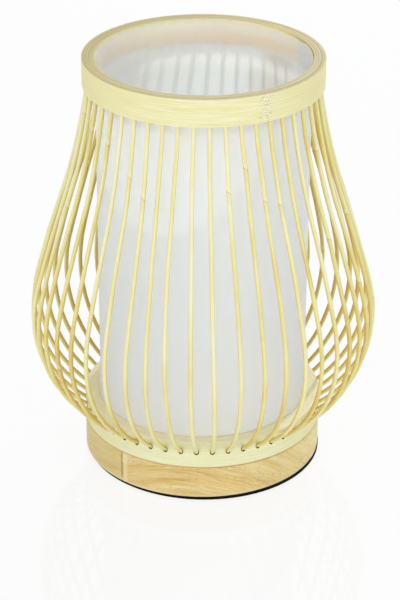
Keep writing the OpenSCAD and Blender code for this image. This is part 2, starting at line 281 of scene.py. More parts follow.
class BambooStrip:
    """The material of a strip bent to a hoop. skin and edge are the pale, dark and third colours of its side
    and of its sanded edge. Each further method lays one more detail over the side, the edge or both."""

    def __init__(self, name, skin, edge=EDGE_COLOURS):
        n = self.n = new_material(name)
        at = self.at = n.place()
        self.bearing, self.radius, self.z = polar(n, at)
        self.dark_line = edge[2]
        self.over = []

        coarse = fibres(n, at, self.radius, 0.022, 0.9, detail=2.0, seed=3.0)
        self.fine = fibres(n, at, self.radius, 0.05, 4.2, detail=4.0, roughness=0.7, seed=11.0)
        self.relief = self.fine
        lines = n.plus(n.times(coarse, 0.12), n.times(self.fine, 0.88))
        patches = n.noise(n.stretch(at, 0.03, 0.03, 0.12), 1.0, 2.0, 0.5)
        side = n.mix(n.band(lines, 0.4, 0.6), skin[1], skin[0])
        self.side = n.mix(n.band(patches, 0.4, 0.65, 0.0, 0.5), side, skin[2])
        layers = fibres(n, at, self.radius, 0.03, 2.6, seed=23.0)
        self.rim = n.mix(n.band(layers, 0.38, 0.62), edge[1], edge[0])

    def tan(self, towards, share, colour):
        """A stretch of the edge, darkened towards a bearing."""
        n = self.n
        self.rim = n.mix(n.band(reach(n, self.at, towards), 5.0, 65.0, 0.0, share), self.rim, colour)

    def flanks(self, share, colour):
        """Painted shade: what the side turns to away from the front."""
        n = self.n
        away = n.math("ABSOLUTE", self.bearing)
        self.side = n.mix(n.band(away, 25.0, 75.0, 0.0, share), self.side, colour)

    def gap(self, towards, at_radius):
        """Painted shadow in the crevice beside the film: a dark line in the edge that grows towards one
        side, where painted shade darkens the strip's side too.
        """
        n = self.n
        opening = n.band(reach(n, self.at, towards), 36.0, 60.0, 0.0, 0.7)
        self.side = n.mix(n.times(opening, 0.7), self.side, self.dark_line)
        line = n.near(self.radius, at_radius, 0.16, 0.12)
        self.rim = n.mix(n.times(line, opening), self.rim, self.dark_line)

    def glue_line(self, at_radius, width, share):
        """The edge of a glued layer, clearer on the right than on the left."""
        n = self.n
        clear = n.band(n.parts(self.at)[0], -50.0, 40.0, 0.4, 1.0)
        line = n.times(n.near(self.radius, at_radius, width, 0.12), clear, share)
        self.rim = n.mix(line, self.rim, self.dark_line)

    def stain(self, height, lap_at, streak_colour, colour):
        """A stained side below a bare upper edge. A wandering streak in it is stronger on the right, but
        missing where the film is double, round the bearing lap_at."""
        n = self.n
        wander = n.noise(n.stretch(self.at, 0.02, 0.02, 0.1), 1.0, 4.0, 0.6)
        streak = n.near(n.plus(self.z, n.times(n.minus(wander, 0.5), 9.0)), height, 5.0, 2.8)
        share = n.band(reach(n, self.at, 90.0), -20.0, 45.0, 0.35, 0.85)
        share = n.times(share, n.minus(1.0, n.near(self.bearing, lap_at, 30.0, 3.0)))
        under = n.mix(n.times(share, 0.4), colour, streak_colour)
        self.side = n.mix(n.band(self.z, RING_TOP - 1.4, RING_TOP - 2.6), self.side, under)
        self.side = n.mix(n.times(streak, share), self.side, streak_colour)

    def growth_mark(self, bearing):
        """The scar of a node of the culm: chevrons and curls across the strip, pale and tan."""
        n = self.n
        wander = n.noise(n.stretch(self.at, 0.25, 0.25, 0.5), 1.0, 3.0, 0.6)
        off = n.plus(n.minus(self.bearing, bearing), n.times(n.minus(wander, 0.5), 8.0))
        here = n.near(off, 0.0, 4.0, 3.4)
        curls = n.noise(n.stretch(self.at, 0.36, 0.36, 0.6), 1.0, 2.0, 0.5, distortion=0.8)
        chevrons = n.plus(n.times(self.z, 4.2), n.times(n.math("ABSOLUTE", off), 1.6))
        ripples = n.math("SINE", n.plus(n.times(curls, 15.0), chevrons))
        scar = n.times(here, n.band(ripples, 0.45, 0.95))
        pale = n.times(here, n.band(ripples, 0.2, -0.6))
        self.over += [(n.times(pale, 0.5), MARK_PALE), (n.times(scar, 0.6), MARK_SCAR)]
        self.relief = n.minus(self.relief, n.times(scar, 1.6))

    def joint(self, bearing, slant):
        """The line where the strip's ends meet aslant."""
        n = self.n
        seam = n.plus(self.bearing, n.times(self.z, slant))
        self.over.append((n.times(n.near(seam, bearing, 0.12, 0.3), 0.55), JOINT_LINE))

    def drilled(self):
        """A golden line at the strip's foot, and painted shade on the walls of the ribs' holes. These walls
        don't face away from the lamp's axis as the outside does."""
        n = self.n
        self.over.append((n.band(self.z, HOOP_BOTTOM + 0.9, HOOP_BOTTOM + 0.2, 0.0, 0.6), FOOT_LINE))
        facing = n.math("DIVIDE", n.dot(n.normal(), n.stretch(self.at, 1, 1, 0)), self.radius)
        below_edge = n.band(self.z, HOOP_TOP - 1.7, HOOP_TOP - 2.1)
        off_bore = n.band(self.radius, FILM_RADIUS + 0.7, FILM_RADIUS + 1.0)
        self.over.append((n.times(n.band(facing, 0.85, 0.75), below_edge, off_bore), HOLE_SHADE))

    def finish(self):
        n = self.n
        faces_up = n.math("ABSOLUTE", n.parts(n.normal())[2])
        colour = n.mix(n.band(faces_up, 0.55, 0.9), self.side, self.rim)
        for share, detail in self.over:
            colour = n.mix(share, colour, detail)
        rough = n.band(self.fine, 0.3, 0.7, 0.42, 0.58)
        shader = n.principled(colour, rough, n.bump(self.relief, 0.05, 0.6), specular_ior_level=0.35)
        return n.finish(shader)


def outer_band_material():
    strip = BambooStrip("band_bamboo", (srgb(250, 244, 205), srgb(232, 222, 152), srgb(243, 236, 180)))
    # Painted shade darkens the edge behind; it is also a little darker in front and golden towards the front
    # left
    strip.tan(-140.0, 0.46, srgb(190, 173, 114))
    strip.tan(0.0, 0.16, srgb(192, 180, 130))
    strip.tan(-62.0, 0.5, srgb(196, 180, 96))
    # Painted shade on the side away from the front
    strip.flanks(0.5, srgb(240, 228, 156))
    strip.growth_mark(28.8)
    strip.growth_mark(-134.0)
    strip.joint(171.0, 1.1)
    return strip.finish()


def darken_inner_edge(strip):
    """Painted shade darkens the edge of the core and the inner band behind and on the left. It is also a
    little darker in front.
    """
    strip.tan(-140.0, 0.46, srgb(190, 173, 114))
    strip.tan(0.0, 0.16, srgb(192, 180, 130))
    strip.tan(-90.0, 0.24, srgb(190, 170, 108))


def core_material():
    strip = BambooStrip("core_bamboo", (srgb(226, 212, 160), srgb(204, 184, 124), srgb(216, 198, 142)))
    darken_inner_edge(strip)
    strip.glue_line(INNER_BAND_RADIUS + 1.7, 0.22, 1.0)
    return strip.finish()


def inner_band_material():
    strip = BambooStrip("inner_bamboo", (srgb(244, 233, 160), srgb(230, 213, 124), srgb(242, 226, 152)))
    darken_inner_edge(strip)
    # Painted shadow in the crevice beside the film, with painted shade on the side towards the right
    strip.gap(78.0, FILM_RADIUS + 0.5)
    strip.glue_line(INNER_BAND_RADIUS - 1.2, 0.3, 0.45)
    strip.stain(RING_BOTTOM + 4.8, 103.0, srgb(255, 214, 152), srgb(255, 238, 206))
    return strip.finish()


def lower_hoop_material():
    skin = (srgb(246, 245, 211), srgb(231, 227, 169), srgb(241, 238, 191))
    # The edge is paler and warmer than the top ring's: partly the hoop's own colour, partly painted light
    # standing in for light bounced among the bamboo
    edge = (srgb(255, 250, 214), srgb(252, 241, 190), srgb(240, 224, 172))
    strip = BambooStrip("hoop_bamboo", skin, edge)
    strip.glue_line(HOOP_RADIUS - 6.2, 0.1, 1.0)
    strip.glue_line(HOOP_RADIUS - 3.4, 0.1, 1.0)
    # Painted shade on the side away from the front
    strip.flanks(0.5, srgb(236, 228, 164))
    strip.growth_mark(-126.0)
    strip.growth_mark(137.0)
    strip.joint(-158.0, -0.55)
    strip.drilled()
    return strip.finish()


# Bamboo splints


def rib_material():
    """Round bamboo splints. The mesh says how far along a rib a point is and on which side, how far it is
    from the knot, and the rib's tone."""
    n = new_material("rib_bamboo")
    along, outward, sideways = n.parts(n.given("grain")["Vector"])
    tone = n.given("tone")["Fac"]
    seed = n.given("seed")["Fac"]
    knot = n.given("knot")["Fac"]

    def drawn_out(along_scale, across_scale):
        """Places for a pattern that is drawn out along the rib."""
        across = (n.times(part, across_scale) for part in (outward, sideways))
        return n.join(n.times(along, along_scale), *across)

    line_at = drawn_out(0.03, 1.6)
    streaks = n.noise(line_at, 1.0, 5.0, 0.65, w=seed)
    fine = n.noise(drawn_out(0.12, 5.0), 1.0, 4.0, 0.7, w=seed)
    slow = n.noise(n.join(n.times(along, 0.018), seed, 0.0), 1.0, 2.0, 0.5)

    warmth = n.plus(
        tone,
        n.band(slow, 0.3, 0.7, -0.22, 0.22),
        n.band(streaks, 0.35, 0.65, 0.16, -0.16),
        n.band(along, 180.0, 50.0, 0.0, 0.18),
    )
    skin = n.ramp(
        n.math("ADD", warmth, 0.0, clamp=True),
        (0.0, srgb(247, 244, 204)),
        (0.4, srgb(244, 238, 184)),
        (0.7, srgb(238, 225, 154)),
        (1.0, srgb(227, 202, 120)),
    )
    # The pith side, towards the lamp's axis, is browner than the skin side
    flank = n.mix(1.0, skin, srgb(252, 244, 206), "MULTIPLY")
    pith = n.mix(1.0, skin, srgb(234, 212, 164), "MULTIPLY")
    colour = n.mix(n.band(outward, 0.75, 0.2), skin, flank)
    colour = n.mix(n.band(outward, -0.05, -0.7), colour, pith)
    colour = n.mix(n.times(n.band(fine, 0.58, 0.72), 0.3), colour, srgb(196, 160, 84))

    # A growth node is a slanting scar with a paler patch above it and a golden one below
    slant = n.plus(knot, n.times(sideways, 1.1))
    broken = n.band(n.noise(line_at, 3.0, 2.0, 0.5, w=seed), 0.4, 0.6, 0.1, 1.0)
    ridge = n.times(n.near(slant, 0.0, 0.2, 0.7), broken)
    colour = n.mix(n.times(n.near(slant, 1.6, 1.2, 1.8), 0.35), colour, srgb(251, 243, 200))
    colour = n.mix(n.times(n.near(slant, -3.0, 2.0, 5.0), 0.2), colour, srgb(228, 190, 104))
    colour = n.mix(n.times(ridge, 0.5), colour, srgb(186, 150, 80))

    relief = n.plus(streaks, n.times(fine, 0.5))
    rough = n.band(streaks, 0.3, 0.7, 0.38, 0.55)
    return n.finish(n.principled(colour, rough, n.bump(relief, 0.06, 0.5), specular_ior_level=0.4))


# Wood of the foot: a main block, a block to the left of BLOCK_JOINT_X and one behind STRIP_JOINT_Y

BLOCK_JOINT_X = -47.3
STRIP_JOINT_Y = 17.0
JOINT_WIDTH = 0.05
# In x and z
GRAIN_CENTRE = (-14.0, -62.0)
GRAIN_RADIUS = 80.0


def wood_grain(n, at, left_block, back_block):
    """The growth layer that a point lies in and how far along it the point is, both in millimetres, and 1
    where the grain is straight, as it is in the outer blocks. In the main block the layers arch over
    GRAIN_CENTRE, so that on the front they run level at the left and fall to the right."""
    x, y, z = n.parts(at)
    across_x = n.minus(x, GRAIN_CENTRE[0])
    across_z = n.minus(z, GRAIN_CENTRE[1])
    bend = n.noise(n.stretch(at, 0.02, 0.02, 0.03), 1.0, 2.0, 0.5)
    arch = n.math("SQRT", n.plus(n.times(across_x, across_x), n.times(across_z, across_z)))
    arch = n.plus(arch, n.times(bend, 9.0), n.times(y, 0.12))
    run = n.times(n.math("ARCTAN2", across_x, across_z), GRAIN_RADIUS)
    level = n.plus(n.times(bend, 5.0), n.plus(z, n.times(y, 0.3)))
    straight = n.math("MAXIMUM", left_block, back_block)
    layer = n.plus(n.either(straight, arch, level), n.times(back_block, 40.0))
    return layer, n.either(straight, run, x), straight


def wood_material():
    """Rubberwood glued up from blocks."""
    n = new_material("rubberwood")
    at = n.place()
    x, y, z = n.parts(at)
    left_block = n.band(x, BLOCK_JOINT_X, BLOCK_JOINT_X + JOINT_WIDTH, 1.0, 0.0, smooth=False)
    back_block = n.band(y, STRIP_JOINT_Y, STRIP_JOINT_Y + JOINT_WIDTH, 0.0, 1.0, smooth=False)
    layer, along, straight = wood_grain(n, at, left_block, back_block)

    def grain(run_scale, layer_scale, detail, roughness=0.55, distortion=0.0):
        spot = n.join(n.times(along, run_scale), n.times(layer, layer_scale), n.times(y, 0.04))
        return n.noise(spot, 1.0, detail, roughness, distortion=distortion)

    broad = grain(0.02, 0.16, 2.0)
    streaks = grain(0.035, 0.7, 4.0, 0.6, 0.3)
    fine = grain(0.12, 3.0, 3.0, 0.65)
    pores = grain(0.5, 3.6, 1.0)
    pore_places = grain(0.04, 0.3, 2.0)
    dashes = n.times(n.band(pores, 0.6, 0.68), n.band(pore_places, 0.42, 0.56))

    figure = n.plus(n.times(broad, 0.55), n.times(streaks, 0.45))
    colour = n.ramp(
        n.band(figure, 0.36, 0.64, smooth=False),
        (0.0, srgb(205, 163, 95)),
        (0.3, srgb(223, 190, 118)),
        (0.6, srgb(232, 205, 140)),
        (1.0, srgb(243, 222, 168)),
    )
    broken = n.band(n.noise(n.stretch(at, 0.0, 0.1, 0.5), 1.0, 2.0, 0.5), 0.35, 0.55, 0.35, 1.0)
    dark_line = n.times(n.near(x, BLOCK_JOINT_X, 0.5, 0.5), broken)
    dark_line = n.math("MAXIMUM", dark_line, n.times(n.near(y, STRIP_JOINT_Y, 0.1, 0.25), 0.7))
    for share, tint in (
        (n.times(left_block, 0.65), srgb(219, 202, 134)),
        (n.times(back_block, 0.4), srgb(218, 192, 128)),
        # Painted highlight: paler towards the right
        (n.band(x, 15.0, 60.0, 0.0, 0.45), srgb(244, 229, 162)),
        (n.band(fine, 0.45, 0.75, 0.0, 0.36), srgb(200, 160, 94)),
        (n.times(dashes, n.band(straight, 0.0, 1.0, 0.6, 0.2)), srgb(158, 112, 56)),
        # A pale strip beside the joint, and the glue in it
        (n.times(n.near(x, BLOCK_JOINT_X + 2.1, 1.8, 0.5), 0.6), srgb(244, 228, 180)),
        (n.times(dark_line, 0.65), srgb(154, 108, 50)),
        # The sanded lower edge is paler
        (n.band(z, PAD_TOP + 2.2, PAD_TOP + 0.6, 0.0, 0.45), srgb(244, 226, 178)),
        # Darker and more orange just under the hoop
        (n.band(z, HOOP_BOTTOM - 0.8, HOOP_BOTTOM - 0.2, 0.0, 0.6), srgb(196, 138, 58)),
    ):
        colour = n.mix(share, colour, tint)
    relief = n.minus(n.times(fine, 0.6), dashes)
    rough = n.band(fine, 0.3, 0.7, 0.4, 0.52)
    return n.finish(n.principled(colour, rough, n.bump(relief, 0.05, 0.5), specular_ior_level=0.4))


# Film

# The share of light that each face lets through, in front and behind
FILM_TRANSLUCENCE = (0.47, 0.78)
# Bearings of the lapped seam's two ends
LAP_FROM = 88.2
LAP_TO = 118.0


def film_material():
    """Matt white film. Each of its two faces lets a share of the light through and sends back the rest."""
    n = new_material("diffuser_film")
    at = n.place()
    x, y, z = n.parts(at)
    bearing = polar(n, at)[0]
    cloud = n.noise(n.stretch(at, 0.015, 0.015, 0.008), 1.0, 3.0, 0.5)
    speck = n.noise(n.stretch(at, 1.2, 1.2, 1.2), 1.0, 3.0, 0.6)
    colour = n.mix(n.band(cloud, 0.35, 0.65), srgb(252, 253.6, 255), srgb(253, 254.6, 255))

    behind = n.times(n.band(y, 0.0, 40.0), n.band(z, RING_BOTTOM - 6, RING_BOTTOM - 18))
    right = n.times(n.band(x, 14.0, 44.0), n.band(x, 57.0, 50.0, 0.6, 1.0))
    below_ring = n.band(z, RING_BOTTOM - 14, RING_BOTTOM - 7)
    below_ring = n.times(below_ring, n.band(z, RING_BOTTOM + 1.5, RING_BOTTOM - 3))
    far_right = n.times(n.band(x, 30.0, 42.0), n.band(x, 56.0, 48.0, 0.25, 1.0), n.band(y, 18.0, 36.0))
    left = n.near(bearing, -120.0, 24.0, 26.0)
    left = n.times(left, n.band(z, RING_BOTTOM - 1, RING_BOTTOM - 9, 0.0, 0.55))
    for share, tint in (
        (n.band(speck, 0.4, 0.7, 0.0, 0.04), srgb(232, 237, 240)),
        (n.near(bearing, (LAP_FROM + LAP_TO) / 2, LAP_TO - LAP_FROM, 0.5), srgb(254, 255, 254)),
        # Painted shade: greyer at the back, more so on both sides
        (behind, srgb(245, 248, 249)),
        (n.times(behind, right), srgb(236, 237, 236)),
        (n.times(below_ring, far_right), srgb(243, 242, 238)),
        (left, srgb(238, 240, 240)),
        # Painted warm bounce light from the hoop tints the sheet's foot; the cut upper edge is tinted cream
        (n.band(z, HOOP_TOP + 0.6, HOOP_TOP - 0.2), srgb(254, 249, 228)),
        (n.band(z, FILM_TOP - 0.4, FILM_TOP - 0.1), srgb(244, 237, 212)),
    ):
        colour = n.mix(share, colour, tint)

    relief = n.bump(n.plus(cloud, n.times(speck, 0.02)), 0.4, 0.25)
    front = n.principled(colour, 0.5, relief, specular_ior_level=0.25)
    back = n.new("ShaderNodeBsdfTranslucent", {"Color": colour, "Normal": relief}).outputs[0]
    # Less light comes through where the top ring and the foot shade the sheet's far side
    passed = n.band(y, -60.0, 60.0, *FILM_TRANSLUCENCE)
    passed = n.minus(passed, n.times(n.near(z, RING_BOTTOM - 3.5, 5.0, 3.0), 0.2))
    passed = n.minus(passed, n.band(z, 110.0, 45.0, 0.0, 0.15))
    return n.finish(n.blend(passed, front, back))


# Rubber, plastics, ceramic, metals and glass


def grained_material(name, pale, dark, scale, roughness, depth, **constants):
    """A plain surface with fine cloudy grain."""
    n = new_material(name)
    at = n.place()
    fine = n.noise(at, scale, 4.0, 0.6)
    cloud = n.noise(at, scale * 0.08, 2.0, 0.5)
    share = n.plus(n.times(fine, 0.6), n.times(cloud, 0.4))
    colour = n.mix(n.band(share, 0.35, 0.65), dark, pale)
    rough = n.band(fine, 0.3, 0.7, *roughness)
    return n.finish(n.principled(colour, rough, n.bump(fine, depth, 0.6), **constants))


def turned_metal_material(name, pale, dark, roughness):
    """Metal with fine lines round the lamp's axis."""
    n = new_material(name)
    at = n.place()
    lines = fibres(n, at, polar(n, at)[1], 0.02, 6.0, detail=3.0)
    blotch = n.noise(at, 0.25, 3.0, 0.6)
    colour = n.mix(n.band(blotch, 0.3, 0.7), dark, pale)
    rough = n.band(lines, 0.3, 0.7, *roughness)
    return n.finish(n.principled(colour, rough, n.bump(lines, 0.02, 0.4), metallic=1.0))


def opal_material():
    n = new_material("opal_glass")
    at = n.place()
    cloud = n.noise(at, 0.06, 3.0, 0.5)
    colour = n.mix(n.band(cloud, 0.3, 0.7), srgb(243, 242, 236), srgb(250, 249, 245))
    rough = n.band(n.noise(at, 0.6, 3.0, 0.6), 0.3, 0.7, 0.1, 0.2)
    return n.finish(n.principled(colour, rough, coat_weight=0.3, coat_roughness=0.05))


# For each: the pale and the dark colour, the grain's scale, the range of roughness, and the grain's depth
GRAINED = {
    "black_plastic": (srgb(52, 50, 47), srgb(38, 36, 34), 1.8, (0.4, 0.6), 0.05),
    "ceramic": (srgb(238, 234, 222), srgb(226, 221, 206), 0.9, (0.25, 0.4), 0.04),
    "white_plastic": (srgb(246, 246, 242), srgb(237, 237, 232), 1.2, (0.35, 0.5), 0.03),
}
PAD_RUBBER = (srgb(24, 22, 19), srgb(12, 11, 10), 2.6, (0.85, 0.98), 0.25)
# For each: the pale and the dark colour, and the range of roughness
TURNED = {
    "zinc_steel": (srgb(212, 213, 214), srgb(182, 185, 190), (0.3, 0.5)),
    "nickel": (srgb(220, 216, 206), srgb(198, 193, 182), (0.18, 0.34)),
    "brass": (srgb(226, 196, 118), srgb(200, 164, 84), (0.25, 0.42)),
}
MATERIALS = {
    "band_bamboo": outer_band_material(),
    "core_bamboo": core_material(),
    "inner_bamboo": inner_band_material(),
    "hoop_bamboo": lower_hoop_material(),
    "rib_bamboo": rib_material(),
    "rubberwood": wood_material(),
    "diffuser_film": film_material(),
    "pad_rubber": grained_material("pad_rubber", *PAD_RUBBER, specular_ior_level=0.15),
    "opal_glass": opal_material(),
    **{name: grained_material(name, *looks) for name, looks in GRAINED.items()},
    **{name: turned_metal_material(name, *looks) for name, looks in TURNED.items()},
}
NODE_MATERIALS = {
    "base_pad": "pad_rubber",
    "base_disc": "rubberwood",
    "cord_bushing": "black_plastic",
    "hoop_screws": "zinc_steel",
    "lower_hoop": "hoop_bamboo",
    "top_outer_band": "band_bamboo",
    "top_comb_ring": "core_bamboo",
    "top_inner_band": "inner_bamboo",
    "diffuser_film": "diffuser_film",
    "threaded_tube": "zinc_steel",
    "tube_nuts": "zinc_steel",
    "tube_washers": "zinc_steel",
    "holder_cap": "white_plastic",
    "contact_block": "ceramic",
    "terminal_screws": "brass",
    "centre_contact": "brass",
    "screw_shell": "brass",
    "holder_skirt": "white_plastic",
    "bulb_globe": "opal_glass",
    "bulb_collar": "white_plastic",
    "bulb_cap": "nickel",
    "bulb_insulator": "black_plastic",
    "bulb_tip": "brass",
}


def paint(obj, material):
    obj.data.materials.clear()
    obj.data.materials.append(MATERIALS[material])


# Meshes


def clamped(share):
    return min(1.0, max(0.0, share))


def eased(share):
    return share * share * (3 - 2 * share)


def mesh_piece(name, verts, faces, material, node):
    """A new piece from points in millimetres, riding on the lamp and standing for a CAD node. Its slot has
    the material's name."""
    mesh = bpy.data.meshes.new(name)
    mesh.from_pydata([tuple(c * MM for c in v) for v in verts], [], faces)
    mesh.validate()
    mesh.polygons.foreach_set("use_smooth", [True] * len(mesh.polygons))
    obj = bpy.data.objects.new(name, mesh)
    bpy.context.scene.collection.objects.link(obj)
    paint(obj, material)
    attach(obj, "lamp")
    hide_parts(node)
    return obj


# Ribs: the source's line of arcs, with the bends, knots and tones of single splints

RIB_COUNT = 48
RIB_GROUPS = 16
FIRST_RIB = -3.2
RIB_SKEW = math.radians(0.7)
RIB_RADIUS = 1.3
RIB_FOOT_RADIUS = RIB_RADIUS + 0.01
RIB_THINNING = 0.04
RIB_FOOT = 5.0
RIB_GRIP = 12.0
BELLY_RADIUS = 102.0
BELLY_HEIGHT = 90.0
SLOT_GAP = 0.1
HOLE_RISE = 10.3
# Radius and height of the rib's line at the belly, where it enters the ring, and at the mouth of its hole
BELLY = (BELLY_RADIUS - RIB_RADIUS, BELLY_HEIGHT)
RIB_TOP = (INNER_BAND_RADIUS + SLOT_GAP + RIB_RADIUS, RING_BOTTOM)
RIB_HOLE = (HOOP_RADIUS, HOOP_BOTTOM + HOLE_RISE)
# For the upper line's four arcs: share of its length, and lean at the arc's end as a share of the most
ARC_SHARE = (0.15, 0.382, 0.443, 0.025)
ARC_LEAN = (0.757, 1.0, 0.437, 0.0)
# The most that the line leans is sought between these, by halving
LEAN_LIMITS = (math.radians(1), math.radians(60))
HALVINGS = 50
RIB_STEP = 2.0
FOOT_STEPS = 4
GRIP_STEPS = 6
RIB_SIDES = 12
# Over this length a rib turns from fixed to free to sway
RIB_EASE = 30.0
# The feet are whittled a little and rest against the upper side of their holes
FOOT_LIFT = 0.3
FOOT_TAPER = 0.12
FOOT_REACH = 25.0
RIB_SEED = 48
# The most that a splint strays, ripples and kinks sideways, and that it waves and bows outwards
STRAY = 0.9
RIPPLE = 0.25
KINK = 0.4
WAVE = 0.3
BOW = 0.3
# A kink fades on both sides of the knot
KINK_FADE = 14.0
PHASES = (0, 6.28)
KNOT_HEIGHTS = (60, 228)
# Share by which a rib's thickness changes, and radians per millimetre, in its long and its short swells
LONG_SWELL = (0.02, 0.21)
SHORT_SWELL = (0.015, 0.57)
# The same share at a knot, and the length of the knot's swelling
KNOT_SWELL = 0.06
KNOT_LENGTH = 1.3
# Where a splint without a knot has it, well away from the rib
NO_KNOT = -100.0
# Sets one splint's grain apart from the next one's
GRAIN_SEED_STEP = 7.31
# How golden a rib looks, from 0 for pale to 1 for tan: the least, the most and the usual
TONES = (0.1, 0.7, 0.32)
# On the front ribs, by number: heights of the knots that show, and how far the rib strays to the right
SEEN_KNOTS = {42: 215, 45: 192, 44: 201, 3: 208, 2: 197, 4: 190, 5: 186}
SEEN_SWAYS = {
    42: 0.6, 43: 0.4, 44: 0.3, 45: 0.9, 46: -0.7, 47: -2.6,
    0: -1.1, 1: -1.0, 2: 0.9, 3: 1.9, 4: 2.1, 5: 2.0, 6: 0.4, 7: 0.8,
}
# Their tones
SEEN_TONES = {
    40: 0.5, 41: 0.6, 42: 0.62, 43: 0.3, 44: 0.5, 45: 0.42, 46: 0.42, 47: 0.45,
    0: 0.3, 1: 0.32, 2: 0.42, 3: 0.6, 4: 0.62, 5: 0.46, 6: 0.68, 7: 0.34, 8: 0.54, 9: 0.34, 10: 0.5,
}


def arc_step(a, b):
    """Step inwards and up along an arc of unit length whose lean turns from a to b."""
    if abs(b - a) < 1e-9:
        return math.sin(a), math.cos(a)
    return (math.cos(a) - math.cos(b)) / (b - a), (math.sin(b) - math.sin(a)) / (b - a)


def upper_line(steep, length, arc=len(ARC_SHARE) - 1, part=1.0):
    """How far inwards and up from the belly a point on the upper line lies, and its lean. steep is the most
    that the line leans. The point lies a part of the way along an arc, by default at the last one's end."""
    inward, up, lean = 0.0, 0.0, 0.0
    for i in range(arc + 1):
        along = part if i == arc else 1.0
        to = lean + (ARC_LEAN[i] * steep - lean) * along
        step = arc_step(lean, to)
        inward += ARC_SHARE[i] * along * length * step[0]
        up += ARC_SHARE[i] * along * length * step[1]
        lean = to
    return inward, up, lean


def steepest_lean():
    """The greatest lean at which the upper line, from the belly, ends at the rib's place in the ring."""
    slope = (BELLY[0] - RIB_TOP[0]) / (RIB_TOP[1] - BELLY[1])
    low, high = LEAN_LIMITS
    for _ in range(HALVINGS):
        steep = (low + high) / 2
        inward, up, _lean = upper_line(steep, 1.0)
        if inward / up < slope:
            low = steep
        else:
            high = steep
    return steep


def rib_line():
    """The rib's line as (distance along, radius, height, lean), from its foot to its top in the ring."""
    inwards, drop = BELLY[0] - RIB_HOLE[0], BELLY[1] - RIB_HOLE[1]
    lower_radius = (inwards**2 + drop**2) / (2 * inwards)
    foot_lean = 2 * math.atan(inwards / drop)
    points = []
    s = 0.0
    for i in range(FOOT_STEPS):
        back = RIB_FOOT * (1 - i / FOOT_STEPS)
        radius = RIB_HOLE[0] - back * math.sin(foot_lean)
        points.append((s, radius, RIB_HOLE[1] - back * math.cos(foot_lean), -foot_lean))
        s += RIB_FOOT / FOOT_STEPS
    count = round(lower_radius * foot_lean / RIB_STEP)
    for i in range(count):
        a = foot_lean * (1 - i / count)
        radius = BELLY[0] - lower_radius * (1 - math.cos(a))
        points.append((s, radius, BELLY[1] - lower_radius * math.sin(a), -a))
        s += lower_radius * foot_lean / count
    steep = steepest_lean()
    length = (RIB_TOP[1] - BELLY[1]) / upper_line(steep, 1.0)[1]
    for arc, share in enumerate(ARC_SHARE):
        count = max(3, round(share * length / RIB_STEP))
        for i in range(count):
            inward, up, lean = upper_line(steep, length, arc, i / count)
            points.append((s, BELLY[0] - inward, BELLY[1] + up, lean))
            s += share * length / count
    for i in range(GRIP_STEPS + 1):
        points.append((s, RIB_TOP[0], RIB_TOP[1] + RIB_GRIP * i / GRIP_STEPS, 0.0))
        s += RIB_GRIP / GRIP_STEPS
    return points


RIB_LINE = rib_line()
RIB_LENGTH = RIB_LINE[-1][0]


class Splint:
    """What sets one splint apart: drawn at random, and on the front ribs as seen."""

    def __init__(self, index, draw):
        self.stray = draw.uniform(-STRAY, STRAY)
        self.ripple = draw.uniform(-RIPPLE, RIPPLE)
        self.wave = draw.uniform(-WAVE, WAVE)
        self.bow = draw.uniform(-BOW, BOW)
        self.phase = draw.uniform(*PHASES)
        self.kink = draw.uniform(-KINK, KINK)
        knot_height = draw.uniform(*KNOT_HEIGHTS)
        self.tone = draw.triangular(*TONES)
        if index in SEEN_SWAYS:
            self.stray = SEEN_SWAYS[index]
            knot_height = SEEN_KNOTS.get(index)
        self.tone = SEEN_TONES.get(index, self.tone)
        self.knot_at = NO_KNOT
        if knot_height is not None:
            self.knot_at = min(RIB_LINE, key=lambda p: abs(p[2] - knot_height))[0]

    def freedom(self, s):
        """0 where the rib is held, in the hoop and in the ring, rising to 1 between them."""
        return clamped(min(s - RIB_FOOT, RIB_LENGTH - RIB_GRIP - s) / RIB_EASE)

    def foot(self, s):
        """1 in the hole, falling to 0 over FOOT_REACH above it."""
        return max(0.0, 1 - max(0.0, s - RIB_FOOT) / FOOT_REACH)

    def strays(self, s):
        """How far the rib strays outwards and sideways."""
        half_turn = math.pi * s / RIB_LENGTH
        side = self.stray * math.sin(half_turn) + self.ripple * math.sin(3 * half_turn + self.phase)
        side += self.kink * math.exp(-abs(s - self.knot_at) / KINK_FADE)
        out = self.bow * math.sin(half_turn) + self.wave * math.sin(4 * half_turn + self.phase)
        free = self.freedom(s)
        return free * out - FOOT_LIFT * self.foot(s), free * side

    def thickness(self, s):
        """The rib's radius: slimmer towards the top, a little uneven, with a swelling at the knot."""
        uneven = LONG_SWELL[0] * math.sin(s * LONG_SWELL[1] + self.phase)
        uneven += SHORT_SWELL[0] * math.sin(s * SHORT_SWELL[1] + 2 * self.phase)
        knot = KNOT_SWELL * math.exp(-(((s - self.knot_at) / KNOT_LENGTH) ** 2))
        thick = RIB_FOOT_RADIUS - RIB_THINNING * s / RIB_LENGTH
        return thick * (1 + self.freedom(s) * uneven) * (1 + knot) - FOOT_TAPER * self.foot(s)


